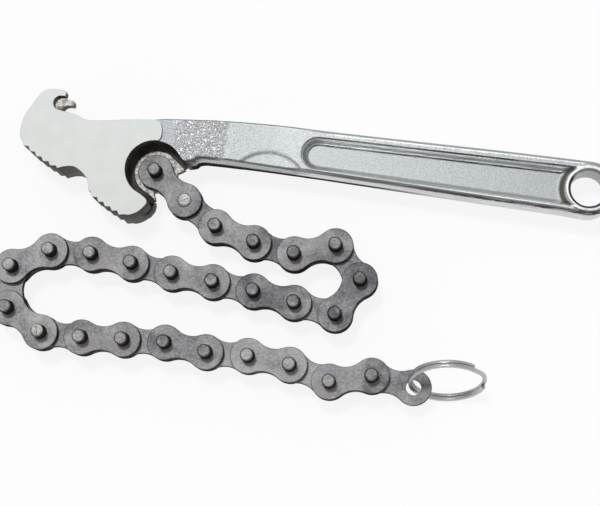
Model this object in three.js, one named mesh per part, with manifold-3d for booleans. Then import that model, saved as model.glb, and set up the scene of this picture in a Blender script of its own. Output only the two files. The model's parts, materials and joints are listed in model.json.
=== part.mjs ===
// Chain wrench, the chain version of a strap wrench: a drop forged handle whose head has two
// toothed cheeks with a hook, a leaf chain with long pins, and a split ring on the chain's end.
// Millimetres, +Z up. The tool lies on its side: +X runs from the head along the handle, and
// the chain's pins stand along +Z. The origin is on the head's lower face.
import * as THREE from 'three';
import Module from 'manifold-3d';
import { mergeVertices } from 'three/addons/utils/BufferGeometryUtils.js';

const wasm = await Module();
wasm.setup();

// Chain: single plates and pairs of outer plates take turns, on pins that stand out both sides
const pitch = 15.875;
const pinRadius = 2.54;
const pinStandOut = 4.85;
const pinChamfer = 0.5;
const innerPlateThickness = 2.4;
const outerPlateThickness = 2.0;
const plateEndRadius = 6.9;
const plateWaistHalf = 4.7;
const plateGap = 0.2;
const runningFit = 0.3;
const rivetedFit = 0.1;
const ringHoleRadius = 2.85;

// Which way each link points at rest, in degrees from +X, from the handle to the chain's end
const linkHeadings = [
  -37, -32, -15, -8, 19, -47, -118, -188, -188, -185, -184, -186, -185,
  -177, -150, -85, -28, 1, 5, 4, -5, 3, -4, -15, 16, -7,
];

// Head: two cheeks either side of the chain's slot, solid behind the teeth
const headSideCover = 0.3;
const slotClearance = 1.4;
const headReach = 53.6;
const headRise = 26;
const hookSeatClearance = 0.25;
const hookTipReach = 1.6;
const keyholeClearance = 4.1;
const webMouthGap = 0.75;
const webHoleFit = 0.3;
const toothPitch = 3.2;
const toothDepth = 1;
const upperTeethBulge = 0.9;
const lowerTeethBulge = 0.5;

// Handle: lofted bar with a recessed panel each side and an eye at the end
const handleReach = 162.3;
const handleRise = 14.75;
const handleHalfWidth = 9.8;
const handleThickness = 11.6;
const rootThickness = 15.4;
const rootRounding = 0.6;
const railRounding = 1.5;
const eyeRadius = 10.35;
const eyeHoleRadius = 6.6;
const collarRadius = 8.7;
const collarFlare = 1.3;
const collarStandOut = 0.3;
const panelStart = 54.7;
const panelDrop = 0.3;
const panelHalfWidth = 5.9;
const panelEndHalfWidth = 7.1;
const panelWallSlope = 2;
const panelWebThickness = 5;

// Split ring: two turns of flat wire
const ringRadius = 13.5;
const ringWireWidth = 1.5;
const ringWireHeight = 1.2;
const ringTurnGap = 0.15;
const ringTilt = 68;
const ringHeading = 8;
const ringStepAngle = 36;
const ringStartAngle = 60;
const ringFloorGap = 0.1;

// The origin's place on the head's lower face, from the first pin
const mountReach = 22;
const mountRise = 4;

// Facets
const pinSides = 10;
const plateEndSteps = 8;
const plateWaistSteps = 3;
const keyholeSteps = 20;
const cornerSteps = 3;
const seatSteps = 8;
const reliefSteps = 9;
const panelEndSteps = 10;
const eyeSides = 32;
const ringStepsPerTurn = 24;
const cutOverrun = 2;

// Sizes that follow from the ones above
const chainWidth = innerPlateThickness + 2 * (plateGap + outerPlateThickness);
const headThickness = chainWidth + 2 * (pinStandOut + headSideCover);
const midHeight = headThickness / 2;
const keyholeRadius = plateEndRadius + keyholeClearance;
const webReach = pitch - plateEndRadius - webMouthGap;
const slotWidth = chainWidth + 2 * slotClearance;
const panelRise = handleRise - panelDrop;

const forgedSteel = new THREE.MeshStandardMaterial({ color: 0xc4c6c8, roughness: 0.38, metalness: 0.9 });
const chainSteel = new THREE.MeshStandardMaterial({ color: 0x7b7879, roughness: 0.5, metalness: 0.8 });
const ringSteel = new THREE.MeshStandardMaterial({ color: 0xb4b8b8, roughness: 0.28, metalness: 0.95 });

function toSolid(geometry) {
  geometry.deleteAttribute('normal');
  geometry.deleteAttribute('uv');
  const merged = mergeVertices(geometry);
  return new wasm.Manifold(new wasm.Mesh({
    numProp: 3,
    vertProperties: new Float32Array(merged.attributes.position.array),
    triVerts: new Uint32Array(merged.index.array),
  }));
}

function toGeometry(solid) {
  const { vertProperties, triVerts } = solid.getMesh();
  const geometry = new THREE.BufferGeometry();
  geometry.setAttribute('position', new THREE.BufferAttribute(vertProperties, 3));
  geometry.setIndex(new THREE.BufferAttribute(triVerts, 1));
  return geometry;
}

// A flat outline, [x, y] points, raised from one height to another
function slab(outline, low, high, holes = []) {
  const asVectors = (points) => points.map(([x, y]) => new THREE.Vector2(x, y));
  const shape = new THREE.Shape(asVectors(outline));
  shape.holes = holes.map((hole) => new THREE.Path(asVectors(hole)));
  const geometry = new THREE.ExtrudeGeometry(shape, { depth: high - low, bevelEnabled: false });
  geometry.translate(0, 0, low);
  return toSolid(geometry);
}

// A closed skin over rings of points that all have the same count, capped at both ends
function loft(rings) {
  const count = rings[0].length;
  const positions = rings.flat(2);
  const index = [];
  for (let r = 0; r + 1 < rings.length; r += 1) {
    for (let k = 0; k < count; k += 1) {
      const here = r * count + k;
      const next = r * count + ((k + 1) % count);
      index.push(here, next, next + count, here, next + count, here + count);
    }
  }
  const last = (rings.length - 1) * count;
  for (let k = 1; k + 1 < count; k += 1) {
    index.push(0, k + 1, k);
    index.push(last, last + k, last + k + 1);
  }
  const geometry = new THREE.BufferGeometry();
  geometry.setAttribute('position', new THREE.Float32BufferAttribute(positions, 3));
  geometry.setIndex(index);
  return toSolid(geometry);
}

// Points on an arc, angles in degrees, both ends included
function arc(centreX, centreY, radius, from, to, steps) {
  return Array.from({ length: steps + 1 }, (_, k) => {
    const angle = THREE.MathUtils.degToRad(from + ((to - from) * k) / steps);
    return [centreX + radius * Math.cos(angle), centreY + radius * Math.sin(angle)];
  });
}

function circle(centreX, centreY, radius, sides) {
  return arc(centreX, centreY, radius, 0, 360, sides).slice(0, sides);
}

// A turned piece about the Z axis, from [radius, height] points
function turned(profile, sides) {
  const geometry = new THREE.LatheGeometry(profile.map(([r, z]) => new THREE.Vector2(r, z)), sides);
  geometry.rotateX(Math.PI / 2);
  geometry.rotateZ(-Math.PI / 2);
  return toSolid(geometry);
}

// Link plate outline: round ends joined by waist arcs that touch both of them
function plateOutline() {
  const halfPitch = pitch / 2;
  const spread = halfPitch ** 2 + plateWaistHalf ** 2 - plateEndRadius ** 2;
  const waistRadius = spread / (2 * (plateEndRadius - plateWaistHalf));
  const waistRise = plateWaistHalf + waistRadius;
  const touch = THREE.MathUtils.radToDeg(Math.atan2(waistRise, halfPitch));
  const upperWaist = arc(halfPitch, waistRise, waistRadius, 360 - touch, 180 + touch, plateWaistSteps);
  const lowerWaist = arc(halfPitch, -waistRise, waistRadius, 180 - touch, touch, plateWaistSteps);
  return [
    ...arc(0, 0, plateEndRadius, touch, 360 - touch, plateEndSteps),
    ...lowerWaist.slice(1, -1),
    ...arc(pitch, 0, plateEndRadius, touch - 180, 180 - touch, plateEndSteps),
    ...upperWaist.slice(1, -1),
  ];
}

function pin(x) {
  const half = chainWidth / 2 + pinStandOut;
  return turned([
    [0, -half],
    [pinRadius - pinChamfer, -half],
    [pinRadius, pinChamfer - half],
    [pinRadius, half - pinChamfer],
    [pinRadius - pinChamfer, half],
    [0, half],
  ], pinSides).translate([x, 0, 0]);
}

function linkPlate(low, thickness, nearHoleRadius, farHoleRadius, farSides = pinSides) {
  return slab(plateOutline(), low, low + thickness, [
    circle(0, 0, nearHoleRadius, pinSides),
    circle(pitch, 0, farHoleRadius, farSides),
  ]);
}

// The rear outer plate holds both of its link's pins, which are pressed and riveted into it
function rearPlateWithPins() {
  const low = innerPlateThickness / 2 + plateGap;
  const plate = slab(plateOutline(), -low - outerPlateThickness, -low);
  return plate.add(pin(0)).add(pin(pitch));
}

function frontPlate() {
  const holeRadius = pinRadius + rivetedFit;
  return linkPlate(innerPlateThickness / 2 + plateGap, outerPlateThickness, holeRadius, holeRadius);
}

function innerPlate() {
  const holeRadius = pinRadius + runningFit;
  return linkPlate(-innerPlateThickness / 2, innerPlateThickness, holeRadius, holeRadius);
}

function endPlate() {
  const holeRadius = pinRadius + runningFit;
  return linkPlate(-innerPlateThickness / 2, innerPlateThickness, holeRadius, ringHoleRadius, eyeSides / 2);
}

// A row of teeth that bulges a little between two corners, walked with the solid on the left
function teeth(start, end, bulge) {
  const along = [end[0] - start[0], end[1] - start[1]];
  const length = Math.hypot(...along);
  const unit = along.map((v) => v / length);
  const out = [unit[1], -unit[0]];
  const count = Math.round(length / toothPitch);
  const points = [];
  for (let k = 0; k <= 2 * count; k += 1) {
    const share = k / (2 * count);
    const rise = 4 * bulge * share * (1 - share) + (k % 2 ? toothDepth : 0);
    points.push([
      start[0] + along[0] * share + out[0] * rise,
      start[1] + along[1] * share + out[1] * rise,
    ]);
  }
  return points;
}

// Head outline, seen from above, anticlockwise from the machined face's rear top corner.
// Back and crown points are shares of the head's reach and rise, from the first pin's axis.
const crownShares = [
  [-0.037, 0.728], [-0.245, 0.676], [-0.38, 0.627], [-0.516, 0.592], [-0.575, 0.616],
  [-0.624, 0.65],
];
const hookSeatShares = [-0.746, 0.798];
const hookTipShares = [[-0.723, 0.984], [-0.758, 1], [-0.813, 1]];
const noseShares = [
  [-0.876, 0.955], [-0.914, 0.859], [-0.949, 0.715], [-0.989, 0.531], [-1, 0.335],
];
const upperTeethShares = [[-0.985, 0.175], [-0.69, -0.155]];
const lowerTeethShares = [[-0.437, -0.44], [-0.158, -0.735]];
const reliefCentreShares = [-0.605, -0.466];
const reliefRadiusShare = 0.17;
const heelShares = [
  [-0.134, -0.715], [-0.108, -0.7], [-0.062, -0.643], [-0.026, -0.558], [-0.011, -0.481],
  [-0.02, -0.45],
];
const faceEdgeShares = [[0.0015, 0.42], [0.016, 0.48], [0.014, 0.6], [-0.003, 0.69]];

function headPoint([reachShare, riseShare]) {
  return [reachShare * headReach, riseShare * headRise];
}

// Round seat for a pin, open towards the handle, with the hook's lip over it
function hookSeat() {
  const [x, y] = headPoint(hookSeatShares);
  const radius = pinRadius + hookSeatClearance;
  return [...arc(x, y, radius, 270, 90, seatSteps), [x + hookTipReach, y + radius]];
}

function headOutline() {
  const relief = headPoint(reliefCentreShares);
  const reliefRadius = reliefRadiusShare * headReach;
  const [upperStart, upperEnd] = upperTeethShares.map(headPoint);
  const [lowerStart, lowerEnd] = lowerTeethShares.map(headPoint);
  return [
    ...crownShares.map(headPoint),
    ...hookSeat(),
    ...hookTipShares.map(headPoint),
    ...noseShares.map(headPoint),
    ...teeth(upperStart, upperEnd, upperTeethBulge),
    ...arc(relief[0], relief[1], reliefRadius, 122, 12, reliefSteps),
    ...teeth(lowerStart, lowerEnd, lowerTeethBulge),
    ...heelShares.map(headPoint),
    ...faceEdgeShares.map(headPoint),
  ];
}

// The chain's slot between the cheeks, open over the hook and along the nose
const slotShares = [
  [-1.1, 0.27], [-0.62, 0.44], [-0.5, 0.62], [-0.5, 1.2], [-1.1, 1.2],
];

// Keyhole and mouth that the first link works in, clear through the head but for the web
const mouthShares = [
  [0.04, -0.45], [0.25, -0.6], [0.5, -0.3], [0.32, -0.02], [0.246, 0.131], [0.19, 0.2],
];

function keyhole() {
  return [...arc(0, 0, keyholeRadius, 40, 263, keyholeSteps), ...mouthShares.map(headPoint)];
}

// The web left in the middle of the keyhole carries the first pin. It stops short of the
// inner plate that follows, which swings about the first pin at one pitch.
function webOutline() {
  const rim = keyholeRadius + cutOverrun / 2;
  return [
    ...arc(0, 0, rim, 30, 266, keyholeSteps),
    ...arc(0, 0, webReach, -80, 5, reliefSteps),
  ];
}

// Handle bar sections: [place along the handle, upper edge, lower edge, thickness] as shares
// of its reach, its half width and the difference between root and rail thickness
const barSectionShares = [
  [-0.06, 0.27, 0.372, 1], [-0.01, 0.485, 0.964, 1], [0.035, 0.587, 1.138, 1], [0.082, 0.668, 1.066, 0.92],
  [0.093, 0.689, 0.893, 0.88], [0.106, 0.714, 0.806, 0.84], [0.122, 0.74, 0.781, 0.78],
  [0.155, 0.786, 0.776, 0.62], [0.2, 0.842, 0.781, 0.36], [0.25, 0.888, 0.791, 0.12], [0.31, 0.915, 0.806, 0],
  [0.53, 0.964, 0.878, 0], [0.77, 1.029, 0.964, 0], [0.92, 1.05, 1, 0], [0.985, 1.02, 1.02, 0],
];

function barSection([placeShare, upperShare, lowerShare, thickShare]) {
  const halfThick = (handleThickness + (rootThickness - handleThickness) * thickShare) / 2;
  const rounding = railRounding + (rootRounding - railRounding) * thickShare;
  const upper = upperShare * handleHalfWidth;
  const lower = -lowerShare * handleHalfWidth;
  const corners = [
    [upper - rounding, halfThick - rounding, 0],
    [lower + rounding, halfThick - rounding, 90],
    [lower + rounding, rounding - halfThick, 180],
    [upper - rounding, rounding - halfThick, 270],
  ];
  return corners.flatMap(([y, z, from]) => (
    arc(y, z, rounding, from, from + 90, cornerSteps)
      .map(([py, pz]) => [placeShare * handleReach, handleRise + py, midHeight + pz])
  ));
}

function eyeDisc() {
  const half = handleThickness / 2;
  const inset = eyeRadius - railRounding;
  return turned([
    [0, -half],
    ...arc(inset, railRounding - half, railRounding, -90, 0, cornerSteps),
    ...arc(inset, half - railRounding, railRounding, 0, 90, cornerSteps),
    [0, half],
  ], eyeSides).translate([handleReach, handleRise, midHeight]);
}

// Raised collar about the eye's hole, flared down to the panel's floor
function eyeCollar() {
  const top = handleThickness / 2 + collarStandOut;
  const floor = panelWebThickness / 2;
  return turned([
    [0, -top], [collarRadius, -top], [collarRadius + collarFlare, -floor],
    [collarRadius + collarFlare, floor], [collarRadius, top], [0, top],
  ], eyeSides).translate([handleReach, panelRise, midHeight]);
}

// One side's panel recess, widening from its floor to the rails
function panelRecess(side) {
  const outline = (grow) => {
    const start = panelHalfWidth - panelWallSlope + grow;
    const end = panelEndHalfWidth - panelWallSlope + grow;
    const startX = panelStart + panelHalfWidth;
    return [
      ...arc(startX, panelRise, start, 90, 270, panelEndSteps),
      [handleReach - collarRadius / 2, panelRise - end],
      [handleReach - collarRadius / 2, panelRise + end],
    ];
  };
  const floor = panelWebThickness / 2;
  const rail = handleThickness / 2;
  const slope = panelWallSlope / (rail - floor);
  const levels = [[floor, 0], [rail + cutOverrun, slope * (rail + cutOverrun - floor)]];
  const rings = levels.map(([height, grow]) => (
    outline(grow).map(([x, y]) => [x, y, midHeight + side * height])
  ));
  return loft(side > 0 ? rings : rings.reverse());
}

function handleForging() {
  const low = -cutOverrun;
  const high = headThickness + cutOverrun;
  const webLow = midHeight - innerPlateThickness / 2;
  const webHigh = midHeight + innerPlateThickness / 2;
  const web = slab(webOutline(), webLow, webHigh)
    .subtract(slab(circle(0, 0, pinRadius + webHoleFit, pinSides), low, high));
  const slotOutline = slotShares.map(headPoint);
  const bar = loft(barSectionShares.map(barSection))
    .add(eyeDisc())
    .subtract(panelRecess(1))
    .subtract(panelRecess(-1))
    .add(eyeCollar())
    .subtract(slab(circle(handleReach, panelRise, eyeHoleRadius, eyeSides), low, high));
  return slab(headOutline(), 0, headThickness)
    .add(bar)
    .subtract(slab(keyhole(), low, high))
    .add(web)
    .subtract(slab(slotOutline, midHeight - slotWidth / 2, midHeight + slotWidth / 2));
}

// Split ring about its own axis: the wire steps from the lower turn to the upper one
function splitRing() {
  const rise = (ringWireHeight + ringTurnGap) / 2;
  const total = 720 - ringStepAngle - 360 / ringStepsPerTurn;
  const steps = Math.round((total / 360) * ringStepsPerTurn);
  const rings = [];
  for (let k = 0; k <= steps; k += 1) {
    const turn = (total * k) / steps;
    const share = THREE.MathUtils.clamp((turn - 360 + ringStepAngle) / ringStepAngle, 0, 1);
    const height = rise * (2 * THREE.MathUtils.smoothstep(share, 0, 1) - 1);
    const angle = THREE.MathUtils.degToRad(ringStartAngle + turn);
    const corners = [[-1, -1], [1, -1], [1, 1], [-1, 1]];
    rings.push(corners.map(([out, up]) => {
      const radius = ringRadius + (out * ringWireWidth) / 2;
      return [radius * Math.cos(angle), radius * Math.sin(angle), height + (up * ringWireHeight) / 2];
    }));
  }
  return loft(rings.map((ring) => ring.reverse()));
}

const wrench = new THREE.Group();
const tool = new THREE.Group();
tool.position.set(mountReach, -mountRise, 0);
wrench.add(tool);

function place(name, solid, material, parent) {
  const mesh = new THREE.Mesh(toGeometry(solid), material);
  mesh.name = name;
  parent.add(mesh);
  return mesh;
}

place('handle_forging', handleForging(), forgedSteel, tool);

const twoDigits = (number) => String(number).padStart(2, '0');
const joint = new THREE.Vector3(0, 0, midHeight);
linkHeadings.forEach((heading, k) => {
  const link = new THREE.Group();
  link.position.copy(joint);
  link.rotation.z = THREE.MathUtils.degToRad(heading);
  tool.add(link);
  const pairNumber = twoDigits(Math.floor(k / 2) + 1);
  if (k % 2 === 0) {
    place(`rear_link_plate_${pairNumber}`, rearPlateWithPins(), chainSteel, link);
    place(`front_link_plate_${pairNumber}`, frontPlate(), chainSteel, link);
  } else if (k + 1 < linkHeadings.length) {
    place(`inner_link_plate_${pairNumber}`, innerPlate(), chainSteel, link);
  } else {
    place('end_link_plate', endPlate(), chainSteel, link);
  }
  joint.x += pitch * Math.cos(link.rotation.z);
  joint.y += pitch * Math.sin(link.rotation.z);
});

// The ring stands steeply through the end plate's hole, with its low side on the bench
const tilt = THREE.MathUtils.degToRad(ringTilt);
const packHalfHeight = ringWireHeight + ringTurnGap / 2;
const ringCentreHeight = ringFloorGap + (ringRadius + ringWireWidth / 2) * Math.sin(tilt)
  + packHalfHeight * Math.cos(tilt);
const threadSine = (midHeight - ringCentreHeight) / (ringRadius * Math.sin(tilt));
const threadCosine = -Math.sqrt(1 - threadSine ** 2);
const ring = new THREE.Group();
ring.position.copy(joint);
ring.rotation.z = THREE.MathUtils.degToRad(ringHeading);
tool.add(ring);
const ringMesh = place('split_ring', splitRing(), ringSteel, ring);
ringMesh.rotation.x = tilt;
ringMesh.position.set(
  -ringRadius * threadCosine,
  -ringRadius * threadSine * Math.cos(tilt),
  -ringRadius * threadSine * Math.sin(tilt),
);

export default wrench;
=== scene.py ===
# Chain wrench: a drop forged handle with a toothed, hooked head, a leaf chain and a split ring.
# Everything is in metres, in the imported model's frame: +X along the handle, +Z along the pins.
import json
import math

import bmesh
import bpy
import numpy as np
from mathutils import Matrix, Vector, geometry, noise


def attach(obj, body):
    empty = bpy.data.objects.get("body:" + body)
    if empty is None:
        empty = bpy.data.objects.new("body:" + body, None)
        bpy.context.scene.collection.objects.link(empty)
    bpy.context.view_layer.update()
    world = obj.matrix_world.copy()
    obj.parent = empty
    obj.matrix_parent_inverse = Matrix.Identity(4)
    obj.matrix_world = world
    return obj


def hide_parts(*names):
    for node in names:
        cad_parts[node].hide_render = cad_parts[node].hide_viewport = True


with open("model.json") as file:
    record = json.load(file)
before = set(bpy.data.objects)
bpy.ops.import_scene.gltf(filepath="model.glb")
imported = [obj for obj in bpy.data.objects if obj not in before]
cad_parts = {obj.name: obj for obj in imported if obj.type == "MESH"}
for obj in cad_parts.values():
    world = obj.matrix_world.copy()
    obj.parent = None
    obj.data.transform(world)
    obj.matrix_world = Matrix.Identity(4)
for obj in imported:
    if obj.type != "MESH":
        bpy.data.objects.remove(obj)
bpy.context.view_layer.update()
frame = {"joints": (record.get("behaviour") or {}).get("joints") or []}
jointPlaces = {joint["name"]: Vector(joint["pos_m"]) for joint in frame["joints"]}
mm = 0.001
white = (1, 1, 1, 1)


# Shader and Geometry Nodes helpers

class Wire:  # a socket that adds Math nodes when it is used in an expression
    def __init__(self, recipe, socket):
        self.recipe = recipe
        self.socket = socket

    def __add__(self, other):
        return self.recipe.maths("ADD", self, other)

    def __sub__(self, other):
        return self.recipe.maths("SUBTRACT", self, other)

    def __rsub__(self, other):
        return self.recipe.maths("SUBTRACT", other, self)

    def __mul__(self, other):
        return self.recipe.maths("MULTIPLY", self, other)

    def __truediv__(self, other):
        return self.recipe.maths("DIVIDE", self, other)

    def __pow__(self, other):
        return self.recipe.maths("POWER", self, other)

    def __abs__(self):
        return self.recipe.maths("ABSOLUTE", self)

    __radd__, __rmul__ = __add__, __mul__

    def beside(self, output):  # another output of the same node
        return Wire(self.recipe, self.socket.node.outputs[output])


def paint(colour):  # a colour as it shows on screen, 0 to 255, made linear; a wire stays as it is
    if isinstance(colour, Wire):
        return colour
    shares = [value / 255 for value in colour]
    return (*(share / 12.92 if share <= 0.04045 else ((share + 0.055) / 1.055) ** 2.4 for share in shares), 1)


class Recipe:  # a node tree and the ways that nodes are added to it
    def __init__(self, tree):
        self.tree = tree

    def feed(self, socket, value):  # a value, a wire, or a list of wires for a socket that takes several
        for item in value if isinstance(value, list) else [value]:
            if isinstance(item, Wire):
                self.tree.links.new(item.socket, socket)
            else:
                socket.default_value = item

    def node(self, kind, settings=None, inputs=None, output=0):
        made = self.tree.nodes.new(kind)
        for name, value in (settings or {}).items():
            setattr(made, name, value)
        for name, value in (inputs or {}).items():
            self.feed(made.inputs[name], value)
        return Wire(self, made.outputs[output])

    def maths(self, operation, *terms):
        return self.node("ShaderNodeMath", {"operation": operation}, dict(enumerate(terms)))

    def highest(self, first, *others):
        for other in others:
            first = self.maths("MAXIMUM", first, other)
        return first

    def split(self, vector):
        first = self.node("ShaderNodeSeparateXYZ", {}, {0: vector})
        return [first.beside(axis) for axis in range(3)]

    def step(self, value, low, high):  # 0 below low, 1 above high, smooth between
        return self.node("ShaderNodeMapRange", {"interpolation_type": "SMOOTHSTEP"},
                         {"Value": value, "From Min": low, "From Max": high})

    def fade(self, value, low, high):  # 1 below low, 0 above high
        return 1 - self.step(value, low, high)

    def between(self, value, low, high, soft):  # 1 between low and high
        return self.step(value, low - soft, low + soft) * self.fade(value, high - soft, high + soft)

    def mix(self, factor, first, second):
        return self.node("ShaderNodeMix", {"data_type": "RGBA"}, {0: factor, 6: paint(first), 7: paint(second)}, 2)


class Finish(Recipe):  # a material and its recipe; place is the Object coordinates and lean the face's direction
    def __init__(self, name):
        self.material = bpy.data.materials.new(name)
        self.material.use_nodes = True
        super().__init__(self.material.node_tree)
        self.shader = self.tree.nodes["Principled BSDF"]
        self.place = self.node("ShaderNodeTexCoord", output=3)
        self.lean = self.place.beside(1)

    def mottle(self, scale, detail, roughness=0.5, distortion=0.0, vector=None):
        return self.node("ShaderNodeTexNoise", {}, {"Vector": vector or self.place, "Scale": scale, "Detail": detail,
                                                    "Roughness": roughness, "Distortion": distortion})

    def dress(self, colour, metallic, roughness, bump=None, specular=0.5):  # bump is strength, depth and height
        inputs = self.shader.inputs
        self.feed(inputs["Base Color"], paint(colour))
        self.feed(inputs["Metallic"], metallic)
        self.feed(inputs["Roughness"], roughness)
        inputs["Specular IOR Level"].default_value = specular
        if bump:
            strength, depth, height = bump
            self.feed(inputs["Normal"], self.node(
                "ShaderNodeBump", {}, {"Strength": strength, "Distance": depth, "Height": height}))
        return self.material


def newObject(name, data):
    made = bpy.data.objects.new(name, data)
    bpy.context.collection.objects.link(made)
    return made


# Camera and light

view = {
    "camera": (130.68, -112.41, 515.42),
    "target": (81.85, -28.58, 16.8),
    "roll": -22.06,
    "focalPixels": 1369.7,
    "imageWidth": 600,
    "sensor": 36.0,
    "clip": (0.02, 20),
}


def makeCamera():
    data = bpy.data.cameras.new("camera")
    data.sensor_width = view["sensor"]
    data.lens = view["focalPixels"] / view["imageWidth"] * view["sensor"]
    data.clip_start, data.clip_end = view["clip"]
    camera = newObject("camera", data)
    place = Vector(view["camera"]) * mm
    forward = (Vector(view["target"]) * mm - place).normalized()
    right = forward.cross(Vector((0, 0, 1))).normalized()
    up = right.cross(forward)
    turn = Matrix((right, up, -forward)).transposed().to_4x4()
    camera.matrix_world = Matrix.Translation(place) @ turn @ Matrix.Rotation(math.radians(view["roll"]), 4, "Z")
    bpy.context.scene.camera = camera


studio = {
    "skyLow": 0.5,
    "skyHigh": 0.6,
    "softboxDirection": (-0.25, 0.38, 0.89),
    "softboxEdge": (0.62, 0.80),
    "horizonLevel": 0.75,
    "horizonFade": (0.2, 0.6),
    "bandHeights": (0.56, 0.84),
    "bandSoftness": 0.06,
    "bandSide": (0.12, 0.36),
    "bandLevel": 0.04,
    "keyDirection": (-0.20, 0.33, 0.92),
    "keyAngle": 10,
    "keyStrength": 1.3,
    "floorSize": 6.0,
    "floorColour": (254, 254, 254),
    "floorRoughness": 0.8,
    "floorShare": 0.86,
}


def makeStudio():
    world = bpy.data.worlds.new("studio")
    world.use_nodes = True
    recipe = Recipe(world.node_tree)
    direction = recipe.node("ShaderNodeTexCoord")
    _, across, height = recipe.split(direction)
    toward = tuple(Vector(studio["softboxDirection"]).normalized())
    facing = recipe.node("ShaderNodeVectorMath", {"operation": "DOT_PRODUCT"}, {0: direction, 1: toward}, 1)
    softbox = recipe.step(facing, *studio["softboxEdge"])
    level = studio["skyLow"] + (studio["skyHigh"] - studio["skyLow"]) * softbox
    level = level + (studio["horizonLevel"] - studio["skyLow"]) * recipe.fade(height, *studio["horizonFade"])
    band = recipe.between(height, *studio["bandHeights"], studio["bandSoftness"])
    band = band * recipe.step(across * -1, *studio["bandSide"])
    level = level * (1 - (1 - studio["bandLevel"]) * band)
    background = recipe.tree.nodes["Background"].inputs
    recipe.feed(background["Color"], white)
    recipe.feed(background["Strength"], recipe.highest(level, recipe.node("ShaderNodeLightPath")))
    bpy.context.scene.world = world

    data = bpy.data.lights.new("key", "SUN")
    data.energy = studio["keyStrength"]
    data.angle = math.radians(studio["keyAngle"])
    newObject("key", data).rotation_euler = Vector(studio["keyDirection"]).to_track_quat("Z", "Y").to_euler()

    half = studio["floorSize"] / 2
    mesh = bpy.data.meshes.new("floor")
    mesh.from_pydata([(-half, -half, 0), (half, -half, 0), (half, half, 0), (-half, half, 0)], [], [(0, 1, 2, 3)])
    finish = Finish("paleFloor")
    finish.dress(studio["floorColour"], 0.0, studio["floorRoughness"])
    ray = finish.node("ShaderNodeLightPath", output="Is Camera Ray")
    seen = finish.highest(ray, ray.beside("Is Glossy Ray"), ray.beside("Is Transmission Ray"))
    glow = finish.node("ShaderNodeEmission", {}, {"Color": white, "Strength": 1.0})
    mixed = finish.node("ShaderNodeMixShader", {}, {
        0: seen * studio["floorShare"], 1: Wire(finish, finish.shader.outputs[0]), 2: glow})
    finish.feed(finish.tree.nodes["Material Output"].inputs["Surface"], mixed)
    mesh.materials.append(finish.material)
    newObject("floor", mesh)


makeCamera()
makeStudio()
bpy.context.scene.view_settings.view_transform = "Standard"
print("camera, light and floor made")


# Finishes. Limits along, across and up the part are in metres.

steelTones = {  # a dark and a pale tone, or one that is laid over them
    "ground": ((186, 189, 187), (197, 199, 197)),
    "scale": ((66, 62, 59), (104, 100, 97)),
    "channelShade": (20, 19, 18),
    "raw": ((104, 101, 97), (170, 167, 163)),
    "browned": (124, 117, 112),
    "scuffed": (176, 175, 175),
    "linkSide": (20, 19, 19),
    "spring": ((160, 162, 163), (204, 206, 207)),
}


def groundFace():  # the milled faces of the head: pale, matt, with a faint cloudy grain
    finish = Finish("groundFace")
    cloud = finish.mottle(120, 4)
    colour = finish.mix(finish.step(cloud, 0.3, 0.7), *steelTones["ground"])
    return finish.dress(colour, 1.0, 0.56 + 0.08 * cloud, (0.16, 0.00004, finish.mottle(2600, 3)))


plating = {  # the spine runs down the middle of the panel to the eye
    "spine": (0.0827, 0.1843),
    "spineAcross": 0.01045,
    "middle": 0.00855,
    "panelFrom": (0.074, 0.078),
    "floorDepth": (0.0027, 0.0034),
    "hammeredFrom": (0.0262, 0.0330),
    "hammeredTo": (0.0470, 0.0492),
    "boreEdge": (0.0078, 0.0081),
    "lumpScale": 1000,
    "pitScale": 1650,
    "streakScale": (90, 1500, 1500),
    "bumpDepth": 0.00022,
    "satin": ((136, 140, 141), (178, 181, 182)),
    "hammered": ((176, 178, 181), (212, 214, 216)),
    "rootEnd": (124, 126, 131),
    "rail": ((196, 198, 199), (228, 229, 230)),
    "panelFloor": ((138, 143, 144), (170, 174, 175)),
    "glint": (248, 248, 249),
    "rimShade": (124, 124, 124),
    "boreShade": (60, 60, 58),
    "boreLight": (238, 238, 238),
    "flare": (48, 47, 46),
    "cone": (104, 103, 92),
    "shade": (34, 32, 31),
}


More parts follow.
